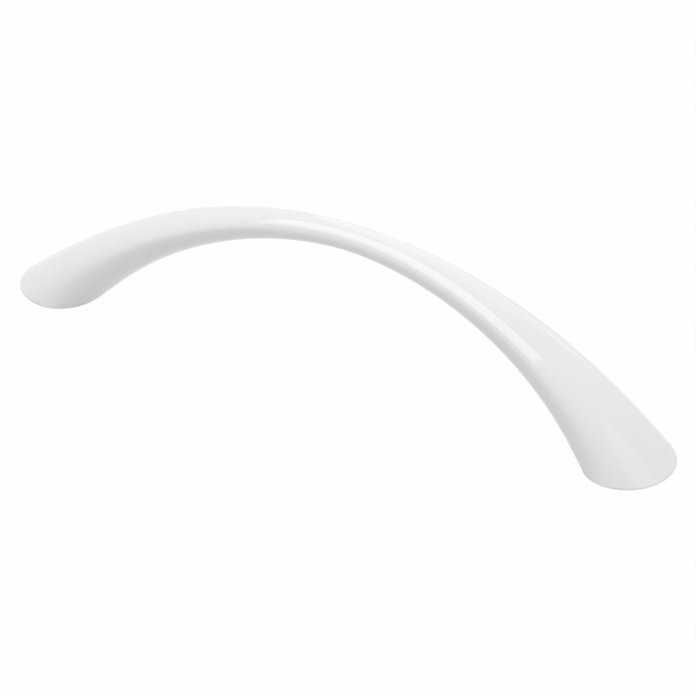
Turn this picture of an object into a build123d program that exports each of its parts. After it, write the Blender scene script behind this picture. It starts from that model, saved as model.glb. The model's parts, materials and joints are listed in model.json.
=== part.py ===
from build123d import *
from math import atan2, cos, pi, radians, sin, tan
import os

# Driving dimensions of the bow, in millimetres
hole_spacing = 96.0  # between the centres of the two fixing screws
foot_overhang = 10.0  # from a screw's centre out to the tip of its foot
projection = 26.4  # from the door to the top of the arch

# Section at the middle of the grip: half-ellipses above and below its widest line
grip_width = 5.5
grip_upper_depth = 1.9  # from the top line down to the widest line
grip_lower_depth = 2.0  # from the widest line down to the underside

# Outline of each foot on the door: half-ellipses outside and inside its widest line
foot_width = 18.7
foot_outer_depth = 8.2
foot_inner_depth = 6.4

# How late each size spreads from grip to foot, as a power of the way out from the middle,
# and how late the sections turn from square to the top line to flat on the door
width_spread = 1.9
upper_spread = 4.8
lower_spread = 1.45
turn_spread = 2.1

# Eased edge round each flat base, and the blind holes tapped M4 from below
base_edge_chamfer = 0.3
bore_diameter = 3.3
mouth_chamfer = 0.5
mouth_angle = 90.0
drill_point_angle = 118.0
wall_over_bore = 1.3  # metal left between the bore's outer corner and the top of the foot

# The loft passes through this many sections on each side of the middle one
sections_per_side = 8

half_length = hole_spacing / 2 + foot_overhang


def top_height(x):
    """Height of the top line, a parabola that comes down to the door at both tips."""
    return projection * (1 - (x / half_length) ** 2)


def lean_of_top_line(x):
    """Angle from upright of the plane that stands square to the top line at x."""
    return atan2(2 * projection * x, half_length**2)


def section_plane(x):
    """Plane of the section whose top is at x: its X runs across the pull, its Y outward."""
    last_turn = pi / 2 - lean_of_top_line(half_length)
    turned = last_turn * abs(x / half_length) ** turn_spread
    lean = lean_of_top_line(x) + (turned if x > 0 else -turned)
    return Plane(origin=(x, 0, top_height(x)), x_dir=(0, 1, 0), z_dir=(cos(lean), 0, -sin(lean)))


def spread(at_grip, at_foot, x, power):
    """A section size at x, grown from its value at the grip to its value at the foot."""
    return at_grip + (at_foot - at_grip) * abs(x / half_length) ** power


with BuildPart() as pull:
    for step in range(-sections_per_side, sections_per_side + 1):
        x = half_length * step / sections_per_side
        half_width = spread(grip_width, foot_width, x, width_spread) / 2
        upper_depth = spread(grip_upper_depth, foot_outer_depth, x, upper_spread)
        lower_depth = spread(grip_lower_depth, foot_inner_depth, x, lower_spread)
        with BuildSketch(section_plane(x)):
            with BuildLine():
                widest = (0, -upper_depth)
                for start in (0, 90):
                    EllipticalCenterArc(widest, half_width, upper_depth, start, arc_size=90)
                for start in (180, 270):
                    EllipticalCenterArc(widest, half_width, lower_depth, start, arc_size=90)
            make_face()
    loft()

    # The last sections lie flat on the door, and the edges round them are eased
    chamfer(pull.edges().group_by(Axis.Z)[0], base_edge_chamfer)

    # Tapped holes, drilled from the door side
    bore_radius = bore_diameter / 2
    bore_depth = top_height(hole_spacing / 2 + bore_radius) - wall_over_bore
    point_depth = bore_radius / tan(radians(drill_point_angle / 2))
    with Locations(Plane(origin=(0, 0, 0), z_dir=(0, 0, -1))):
        with GridLocations(hole_spacing, 0, 2, 1):
            CounterSinkHole(bore_radius, bore_radius + mouth_chamfer, bore_depth, mouth_angle)
            with Locations((0, 0, -bore_depth)):
                Cone(
                    0,
                    bore_radius,
                    point_depth,
                    align=(Align.CENTER, Align.CENTER, Align.MAX),
                    mode=Mode.SUBTRACT,
                )

os.makedirs("parts", exist_ok=True)
pull.part.label = "pull"
export_step(pull.part, "parts/pull.step")
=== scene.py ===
import json
import math
import bmesh
import bpy
from mathutils import Matrix, Vector


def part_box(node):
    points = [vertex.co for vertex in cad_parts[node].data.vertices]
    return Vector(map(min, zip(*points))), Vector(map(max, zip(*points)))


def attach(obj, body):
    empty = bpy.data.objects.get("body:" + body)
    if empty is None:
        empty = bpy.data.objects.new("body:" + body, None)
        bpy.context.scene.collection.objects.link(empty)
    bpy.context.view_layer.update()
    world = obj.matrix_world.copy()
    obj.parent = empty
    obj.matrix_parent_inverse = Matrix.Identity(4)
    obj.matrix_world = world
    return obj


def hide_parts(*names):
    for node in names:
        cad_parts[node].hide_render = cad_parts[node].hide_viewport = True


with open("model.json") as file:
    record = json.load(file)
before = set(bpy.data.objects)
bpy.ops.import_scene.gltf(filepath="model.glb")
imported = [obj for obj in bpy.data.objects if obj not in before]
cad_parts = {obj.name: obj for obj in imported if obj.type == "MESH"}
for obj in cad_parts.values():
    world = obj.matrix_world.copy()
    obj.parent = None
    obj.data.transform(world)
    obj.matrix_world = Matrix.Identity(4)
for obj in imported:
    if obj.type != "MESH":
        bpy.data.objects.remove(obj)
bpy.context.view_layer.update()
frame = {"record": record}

# The pull: one zinc die casting, trimmed, polished and sprayed with gloss white lacquer all over.
# A slim oval grip arches from foot to foot and spreads into two broad spoon feet that stand flat on
# the door. Each foot has a blind hole from below, tapped M4 after lacquering, so its thread is bare.
MM = 0.001
screw_holes = next(m for m in frame["record"]["mounts"] if m["name"] == "screw_holes")["dims"]
hole_spacing = screw_holes["spacing_x_mm"] * MM
tapping_radius = screw_holes["hole_r_mm"] * MM
foot_overhang = 10.0 * MM
thread_pitch = 0.7 * MM
thread_depth = 0.35 * MM
rows_per_thread_turn = 8
foot_count = 2
wall_over_bore = 1.3 * MM
drill_point_angle = math.radians(118)
half_length = hole_spacing / 2 + foot_overhang
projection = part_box("pull")[1].z
bore_end = (hole_spacing / 2 + tapping_radius) / half_length
bore_depth = projection * (1 - bore_end**2) - wall_over_bore
drill_point_depth = tapping_radius / math.tan(drill_point_angle / 2)
thread_turns = math.ceil((bore_depth + drill_point_depth) / thread_pitch) + 1

casting_sizes = {
    "Half Length": half_length,
    "Projection": projection,
    "Grip Half Width": 2.75 * MM,
    "Grip Upper Depth": 1.9 * MM,
    "Grip Lower Depth": 2.0 * MM,
    "Foot Half Width": 9.35 * MM,
    "Foot Upper Depth": 8.2 * MM,
    "Foot Lower Depth": 6.4 * MM,
    "Width Spread": 1.9,
    "Upper Spread": 4.8,
    "Lower Spread": 1.45,
    "Turn Spread": 2.1,
    "Hole Spacing": hole_spacing,
    "Tapping Radius": tapping_radius,
    "Bore Depth": bore_depth,
    "Drill Point Depth": drill_point_depth,
    "Mouth Chamfer": 0.5 * MM,
    "Thread Pitch": thread_pitch,
    "Thread Depth": thread_depth,
}
casting_counts = {
    "Rows": 241,
    "Columns": 129,
    "Thread Turns": thread_turns,
    "Hole Rows": thread_turns * rows_per_thread_turn + 1,
    "Hole Columns": 49,
}
base_edge_rounding = 0.44 * MM
rounding_segments = 4
sharp_edge_angle = math.radians(40)
most_corners_on_skin = 4  # only the flat bases have faces with more


class Formula:
    """A number that one tree's math nodes work out, so that a rule reads as it does on paper."""

    def __init__(self, tree, value):
        self.tree = tree
        self.value = value

    def math(self, operation, *others):
        node = self.tree.nodes.new("ShaderNodeMath")
        node.operation = operation
        for socket, operand in zip(node.inputs, (self, *others)):
            value = operand.value if isinstance(operand, Formula) else operand
            if isinstance(value, bpy.types.NodeSocket):
                self.tree.links.new(value, socket)
            else:
                socket.default_value = value
        return Formula(self.tree, node.outputs[0])

    def __add__(self, other):
        return self.math("ADD", other)

    def __sub__(self, other):
        return self.math("SUBTRACT", other)

    def __mul__(self, other):
        return self.math("MULTIPLY", other)

    def __truediv__(self, other):
        return self.math("DIVIDE", other)

    def __pow__(self, other):
        return self.math("POWER", other)


def new_tree(name, inputs, outputs):
    """An empty geometry tree with named sockets, and its input and output nodes."""
    tree = bpy.data.node_groups.new(name, "GeometryNodeTree")
    for kind, names in inputs:
        for socket_name in names:
            tree.interface.new_socket(socket_name, in_out="INPUT", socket_type=kind)
    for kind, names in outputs:
        for socket_name in names:
            tree.interface.new_socket(socket_name, in_out="OUTPUT", socket_type=kind)
    return tree, tree.nodes.new("NodeGroupInput"), tree.nodes.new("NodeGroupOutput")


def add_node(tree, kind, links=None, **settings):
    """A node with its properties set and its named inputs linked to sockets or given values."""
    node = tree.nodes.new(kind)
    for name, value in settings.items():
        setattr(node, name, value)
    for name, value in (links or {}).items():
        value = value.value if isinstance(value, Formula) else value
        if isinstance(value, bpy.types.NodeSocket):
            tree.links.new(value, node.inputs[name])
        else:
            node.inputs[name].default_value = value
    return node


def bow_rule():
    """Group that gives a point of the bow's skin for a way out from the middle and an angle round it.
    The sections are half-ellipses above and below their widest line. They hang from a parabola, square
    to it at the grip, and turn on the way out until the last ones lie flat on the door."""
    sizes = [name for name in casting_sizes if name.split()[0] in
             ("Half", "Projection", "Grip", "Foot", "Width", "Upper", "Lower", "Turn")]
    tree, given, result = new_tree(
        "Bow rule",
        [("NodeSocketFloat", ["Share", "Angle", *sizes])],
        [("NodeSocketFloat", ["X", "Y", "Z"])],
    )
    size = {s.name: Formula(tree, s) for s in given.outputs if s.name}
    share, angle = size["Share"], size["Angle"]
    way_out = share.math("ABSOLUTE")

    def grown(what, spread):
        at_grip, at_foot = size["Grip " + what], size["Foot " + what]
        return at_grip + (at_foot - at_grip) * way_out ** size[spread]

    half_width = grown("Half Width", "Width Spread")
    upper_depth = grown("Upper Depth", "Upper Spread")
    lower_depth = grown("Lower Depth", "Lower Spread")
    rise = angle.math("SINE")
    above_widest = rise.math("MAXIMUM", 0) * upper_depth + rise.math("MINIMUM", 0) * lower_depth
    below_top = above_widest - upper_depth
    run = size["Half Length"]
    fall_at_tip = size["Projection"] * 2
    last_turn = fall_at_tip.math("ARCTAN2", run) * -1 + math.pi / 2
    turned = last_turn * way_out ** size["Turn Spread"] * share.math("SIGN")
    lean = (fall_at_tip * share).math("ARCTAN2", run) + turned
    top_z = size["Projection"] - size["Projection"] * share * share
    point = {
        "X": run * share + below_top * lean.math("SINE"),
        "Y": half_width * angle.math("COSINE"),
        "Z": top_z + below_top * lean.math("COSINE"),
    }
    for axis, value in point.items():
        tree.links.new(value.value, result.inputs[axis])
    return tree, sizes


def casting_tree(lacquer, bare_zinc):
    """Tree that makes the whole casting: skin, flat bases and tapped holes, as one closed mesh."""
    rule, rule_sizes = bow_rule()
    tree, given, result = new_tree(
        "Cabinet pull casting",
        [("NodeSocketFloat", casting_sizes), ("NodeSocketInt", casting_counts)],
        [("NodeSocketGeometry", ["Geometry"])],
    )
    size = {s.name: Formula(tree, s) for s in given.outputs if s.name}
    turn = 2 * math.pi

    def sheet(rows, columns):
        """A flat grid to be bent into shape, with each point's share along it and angle round it."""
        grid = add_node(tree, "GeometryNodeMeshGrid", {
            "Size X": 1, "Size Y": 1, "Vertices X": size[rows], "Vertices Y": size[columns]})
        place = add_node(tree, "ShaderNodeSeparateXYZ", {
            "Vector": tree.nodes.new("GeometryNodeInputPosition").outputs[0]})
        return grid, Formula(tree, place.outputs["X"]), Formula(tree, place.outputs["Y"]) * turn

    def point_on_bow(share, angle):
        links = {"Share": share, "Angle": angle, **{name: size[name] for name in rule_sizes}}
        return add_node(tree, "GeometryNodeGroup", links, node_tree=rule)

    def bend(grid, x, y, z):
        position = add_node(tree, "ShaderNodeCombineXYZ", {"X": x, "Y": y, "Z": z})
        return add_node(tree, "GeometryNodeSetPosition", {
            "Geometry": grid.outputs["Mesh"], "Position": position.outputs[0]})

    def weld(geometry):
        weld_distance = 0.001 * MM
        return add_node(tree, "GeometryNodeMergeByDistance", {
            "Geometry": geometry.outputs["Geometry"], "Distance": weld_distance})

    def marked(geometry, mark):
        return add_node(tree, "GeometryNodeStoreNamedAttribute", {
            "Geometry": geometry.outputs[0], "Name": mark, "Value": True},
            data_type="BOOLEAN", domain="FACE")

    def mark_field(mark):
        node = add_node(tree, "GeometryNodeInputNamedAttribute", {"Name": mark}, data_type="BOOLEAN")
        return node.outputs[0]

    def joined(*parts):
        node = tree.nodes.new("GeometryNodeJoinGeometry")
        for part in parts:
            tree.links.new(part.outputs[0], node.inputs[0])
        return node

    # The skin runs from foot to foot and is open where it meets the door
    grid, along, angle = sheet("Rows", "Columns")
    skin_point = point_on_bow(along * 2, angle)
    skin = bend(grid, *(skin_point.outputs[axis] for axis in "XYZ"))
    skin = marked(weld(skin), "skin")

    # One tapped hole: countersunk mouth, V-shaped thread that runs out, and the drill's point.
    # The rows of its grid climb with the thread, so that each crest and root is an unbroken edge.
    grid, along, angle = sheet("Hole Rows", "Hole Columns")
    radius, depth, point_depth = size["Tapping Radius"], size["Bore Depth"], size["Drill Point Depth"]
    winding = (along + 0.5) * size["Thread Turns"]
    climb = (winding + angle / turn - 0.5) * size["Thread Pitch"]
    up = climb.math("MAXIMUM", 0).math("MINIMUM", depth + point_depth)
    mouth = radius + size["Mouth Chamfer"] - up
    drill_point = (depth + point_depth - up) / point_depth * radius
    groove = (winding - winding.math("ROUND")).math("ABSOLUTE") * 2
    run_out = ((depth - up) / size["Thread Pitch"]).math("MINIMUM", 1).math("MAXIMUM", 0)
    thread = radius + groove * run_out * size["Thread Depth"]
    wall = thread.math("MINIMUM", drill_point).math("MAXIMUM", mouth).math("MAXIMUM", 0)
    hole = bend(grid, wall * angle.math("COSINE"), wall * angle.math("SINE"), up)
    first_hole = add_node(tree, "ShaderNodeCombineXYZ", {"X": size["Hole Spacing"] * -0.5})
    next_hole = add_node(tree, "ShaderNodeCombineXYZ", {"X": size["Hole Spacing"]})
    centres = add_node(tree, "GeometryNodeMeshLine", {
        "Count": foot_count, "Start Location": first_hole.outputs[0], "Offset": next_hole.outputs[0]})
    holes = add_node(tree, "GeometryNodeInstanceOnPoints", {
        "Points": centres.outputs[0], "Instance": weld(hole).outputs[0]})
    holes = add_node(tree, "GeometryNodeRealizeInstances", {"Geometry": holes.outputs[0]})
    holes = marked(holes, "hole")

    # The flat bases fill what lies between the skin's open ends and the mouths of the holes
    open_shell = joined(skin, holes)
    rim_limit = 1.5  # an edge on a rim has one face, any other has two
    faces_at_edge = tree.nodes.new("GeometryNodeInputMeshEdgeNeighbors").outputs[0]
    rim = Formula(tree, faces_at_edge).math("LESS_THAN", rim_limit)
    rims = add_node(tree, "GeometryNodeMeshToCurve", {
        "Mesh": open_shell.outputs[0], "Selection": rim})
    bases = add_node(tree, "GeometryNodeFillCurve", {"Curve": rims.outputs[0]}, mode="NGONS")
    bases = marked(bases, "base")
    casting = weld(joined(open_shell, bases))

    # The edge between skin and base is marked for rounding
    outline = add_node(tree, "FunctionNodeBooleanMath", operation="AND")
    for socket, mark in zip(outline.inputs, ("skin", "base")):
        tree.links.new(mark_field(mark), socket)
    casting = add_node(tree, "GeometryNodeStoreNamedAttribute", {
        "Geometry": casting.outputs[0], "Name": "bevel_weight_edge", "Value": outline.outputs[0]},
        data_type="FLOAT", domain="EDGE")
    casting = add_node(tree, "GeometryNodeRealizeInstances", {"Geometry": casting.outputs[0]})
    casting = add_node(tree, "GeometryNodeSetMaterial", {
        "Geometry": casting.outputs[0], "Material": lacquer})
    casting = add_node(tree, "GeometryNodeSetMaterial", {
        "Geometry": casting.outputs[0], "Selection": mark_field("hole"), "Material": bare_zinc})
    tree.links.new(casting.outputs[0], result.inputs[0])
    return tree


def new_material(name):
    """A node material, its tree, its Principled shader and an Object coordinate socket."""
    material = bpy.data.materials.new(name)
    material.use_nodes = True
    tree = material.node_tree
    shader = tree.nodes["Principled BSDF"]
    place = tree.nodes.new("ShaderNodeTexCoord").outputs["Object"]
    return material, tree, shader, place


def white_lacquer():
    """Sprayed gloss white: a faint cloudiness in the film and a fine orange peel on its surface."""
    lacquer_ior = 1.6
    thin_white = (0.835, 0.838, 0.838, 1)
    full_white = (0.865, 0.865, 0.862, 1)
    glossiest, dullest = 0.05, 0.075
    clouds_per_metre = 45
    cloud_low, cloud_high = 0.3, 0.7
    peel_per_metre = 650
    peel_depth = 0.004 * MM
    peel_strength = 0.5
    material, tree, shader, place = new_material("gloss_white_lacquer")
    shader.inputs["IOR"].default_value = lacquer_ior
    clouds = add_node(tree, "ShaderNodeTexNoise", {
        "Vector": place, "Scale": clouds_per_metre, "Detail": 2, "Roughness": 0.5})
    white = add_node(tree, "ShaderNodeValToRGB", {"Fac": clouds.outputs["Fac"]})
    thin, full = white.color_ramp.elements
    thin.position, thin.color = cloud_low, thin_white
    full.position, full.color = cloud_high, full_white
    tree.links.new(white.outputs["Color"], shader.inputs["Base Color"])
    gloss = add_node(tree, "ShaderNodeMapRange", {
        "Value": clouds.outputs["Fac"], "From Min": cloud_low, "From Max": cloud_high,
        "To Min": glossiest, "To Max": dullest})
    tree.links.new(gloss.outputs["Result"], shader.inputs["Roughness"])
    peel = add_node(tree, "ShaderNodeTexNoise", {
        "Vector": place, "Scale": peel_per_metre, "Detail": 1, "Roughness": 0.4})
    bump = add_node(tree, "ShaderNodeBump", {
        "Height": peel.outputs["Fac"], "Strength": peel_strength, "Distance": peel_depth})
    tree.links.new(bump.outputs["Normal"], shader.inputs["Normal"])
    return material


def bare_zinc():
    """Freshly cut zinc in the tapped holes: grey metal with fine marks round the hole."""
    dark_zinc = (0.42, 0.42, 0.43, 1)
    bright_zinc = (0.66, 0.66, 0.65, 1)
    smoothest, roughest = 0.28, 0.45
    marks_per_metre = (150, 150, 6000)
    material, tree, shader, place = new_material("bare_zinc")
    shader.inputs["Metallic"].default_value = 1
    stretch = add_node(tree, "ShaderNodeMapping", {"Vector": place, "Scale": marks_per_metre})
    marks = add_node(tree, "ShaderNodeTexNoise", {
        "Vector": stretch.outputs[0], "Scale": 1, "Detail": 2})
    metal = add_node(tree, "ShaderNodeValToRGB", {"Fac": marks.outputs["Fac"]})
    dark, bright = metal.color_ramp.elements
    dark.color, bright.color = dark_zinc, bright_zinc
    tree.links.new(metal.outputs["Color"], shader.inputs["Base Color"])
    rough = add_node(tree, "ShaderNodeMapRange", {
        "Value": marks.outputs["Fac"], "To Min": smoothest, "To Max": roughest})
    tree.links.new(rough.outputs["Result"], shader.inputs["Roughness"])
    return material


casting = bpy.data.objects.new("pull_casting", bpy.data.meshes.new("pull_casting"))
bpy.context.scene.collection.objects.link(casting)
grow = casting.modifiers.new("Casting", "NODES")
grow.node_group = casting_tree(white_lacquer(), bare_zinc())
for socket in grow.node_group.interface.items_tree:
    if socket.in_out == "INPUT":
        grow[socket.identifier] = {**casting_sizes, **casting_counts}[socket.name]
rounding = casting.modifiers.new("Base edge", "BEVEL")
rounding.limit_method = "WEIGHT"
rounding.width = base_edge_rounding
rounding.segments = rounding_segments
rounding.use_clamp_overlap = False
evaluated = casting.evaluated_get(bpy.context.evaluated_depsgraph_get())
finished = bpy.data.meshes.new_from_object(evaluated)
casting.modifiers.clear()
casting.data = finished
finished.materials.pop(index=0)  # the empty slot that the grid nodes start with

shell = bmesh.new()
shell.from_mesh(finished)
bmesh.ops.recalc_face_normals(shell, faces=shell.faces)
for face in shell.faces:
    face.smooth = len(face.verts) <= most_corners_on_skin
shell.to_mesh(finished)
shell.free()
finished.set_sharp_from_angle(angle=sharp_edge_angle)
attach(casting, "root")
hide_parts("pull")

# The floor: a plain white table top that the pull stands on. It shows white to the camera and in
# reflections, darkened a little where the pull keeps the light off it.
floor_half_size = 3.0
floor_height = -0.05 * MM  # a hair below the bases, so that their faces never share a plane
table_grey = (0.72, 0.72, 0.72, 1)
plain_white = (1, 1, 1, 1)
share_of_plain_white = 0.97
floor_mesh = bpy.data.meshes.new("floor")
corners = [(x * floor_half_size, y * floor_half_size, floor_height)
           for x, y in ((-1, -1), (1, -1), (1, 1), (-1, 1))]
floor_mesh.from_pydata(corners, [], [(0, 1, 2, 3)])
floor = bpy.data.objects.new("floor", floor_mesh)
bpy.context.scene.collection.objects.link(floor)


def seen_directly(tree):
    """1 for rays from the camera, off a gloss or through glass, and 0 for the rays that carry light."""
    path = tree.nodes.new("ShaderNodeLightPath")
    camera_or_gloss = add_node(tree, "ShaderNodeMath", operation="MAXIMUM")
    tree.links.new(path.outputs["Is Camera Ray"], camera_or_gloss.inputs[0])
    tree.links.new(path.outputs["Is Glossy Ray"], camera_or_gloss.inputs[1])
    any_view = add_node(tree, "ShaderNodeMath", operation="MAXIMUM")
    tree.links.new(camera_or_gloss.outputs[0], any_view.inputs[0])
    tree.links.new(path.outputs["Is Transmission Ray"], any_view.inputs[1])
    return any_view.outputs[0]


table_top = bpy.data.materials.new("table_top")
table_top.use_nodes = True
tree = table_top.node_tree
tree.nodes.remove(tree.nodes["Principled BSDF"])
lit = add_node(tree, "ShaderNodeBsdfDiffuse", {"Color": table_grey})
white = add_node(tree, "ShaderNodeEmission", {"Color": plain_white, "Strength": 1})
whiteness = add_node(tree, "ShaderNodeMath", {
    0: seen_directly(tree), 1: share_of_plain_white}, operation="MULTIPLY")
look = add_node(tree, "ShaderNodeMixShader", {
    0: whiteness.outputs[0], 1: lit.outputs[0], 2: white.outputs[0]})
tree.links.new(look.outputs[0], tree.nodes["Material Output"].inputs["Surface"])
floor_mesh.materials.append(table_top)

# The light: one large softbox over the pull, leaning a little, whose mirror image is the bright strip
# along the grip, a weak panel to the right that lifts the near foot, another behind that whitens the
# upper edge of the arch, and a dim white room that fills the shadows.
softbox_height = 0.8
softbox_place = Vector((-0.21, -0.2, 1)) * softbox_height
softbox_size = (1.35 * softbox_height, 0.9 * softbox_height)
softbox_lean = math.radians(10)
softbox_turn = math.radians(-8)
softbox_brightness = 1.7
side_panel_size = (0.6, 0.5)
side_panel_turn = math.radians(95)
side_panel_height = math.radians(30)
side_panel_brightness = 0.45
back_panel_size = (0.65, 0.8)
back_panel_turn = math.radians(187)
back_panel_height = math.radians(30)
back_panel_brightness = 0.36
panel_distance = 0.9
room_brightness = 0.52


def soft_panel(name, brightness, size, place, rotation):
    """A flat lamp with an even face of the given brightness."""
    data = bpy.data.lights.new(name, "AREA")
    data.shape = "RECTANGLE"
    data.size, data.size_y = size
    data.energy = brightness * math.pi * data.size * data.size_y
    panel = bpy.data.objects.new(name, data)
    panel.location = place
    panel.rotation_euler = rotation
    bpy.context.scene.collection.objects.link(panel)


def way_to(turn, height):
    """Direction from the pull, turned this far from its front and raised this far off the floor."""
    level = math.cos(height)
    return Vector((math.sin(turn) * level, -math.cos(turn) * level, math.sin(height)))


def aimed_panel(name, brightness, size, turn, height):
    """A soft panel that faces the pull from that direction."""
    place = way_to(turn, height) * panel_distance
    soft_panel(name, brightness, size, place, place.to_track_quat("Z", "Y").to_euler())


soft_panel(
    "softbox", softbox_brightness, softbox_size, softbox_place, (0, softbox_lean, softbox_turn))
aimed_panel(
    "side_panel", side_panel_brightness, side_panel_size, side_panel_turn, side_panel_height)
aimed_panel(
    "back_panel", back_panel_brightness, back_panel_size, back_panel_turn, back_panel_height)

room = bpy.data.worlds.new("room")
room.use_nodes = True
bpy.context.scene.world = room
tree = room.node_tree
background = tree.nodes["Background"]
background.inputs["Color"].default_value = plain_white
brightness = add_node(tree, "ShaderNodeMix", {
    0: seen_directly(tree), 2: room_brightness, 3: 1.0}, data_type="FLOAT")
tree.links.new(brightness.outputs[0], background.inputs["Strength"])

# The camera: a long lens in front of the pull, above it and to its right, tilted a little. The lens is
# shifted just so far that the middle of the pull's bases stands where the photograph has it.
camera_turn = math.radians(23.9)
camera_height = math.radians(32.3)
camera_tilt = math.radians(-4.3)
camera_distance = 0.580
photo_side = 696
photo_origin = (339.6, 368.1)
photo_pixels_per_metre = 6212.0
sensor_width = 36.0
nearest_seen = 0.01

back = way_to(camera_turn, camera_height)
level_right = Vector((math.cos(camera_turn), math.sin(camera_turn), 0))
level_up = back.cross(level_right)
right = level_right * math.cos(camera_tilt) - level_up * math.sin(camera_tilt)
up = level_right * math.sin(camera_tilt) + level_up * math.cos(camera_tilt)
camera_data = bpy.data.cameras.new("camera")
camera_data.sensor_width = sensor_width
camera_data.lens = sensor_width * photo_pixels_per_metre * camera_distance / photo_side
camera_data.shift_x = (photo_side / 2 - photo_origin[0]) / photo_side
camera_data.shift_y = (photo_origin[1] - photo_side / 2) / photo_side
camera_data.clip_start = nearest_seen
camera = bpy.data.objects.new("camera", camera_data)
facing = Matrix((right, up, back)).transposed().to_4x4()
camera.matrix_world = Matrix.Translation(back * camera_distance) @ facing
bpy.context.scene.collection.objects.link(camera)
bpy.context.scene.camera = camera
bpy.context.scene.view_settings.view_transform = "Standard"
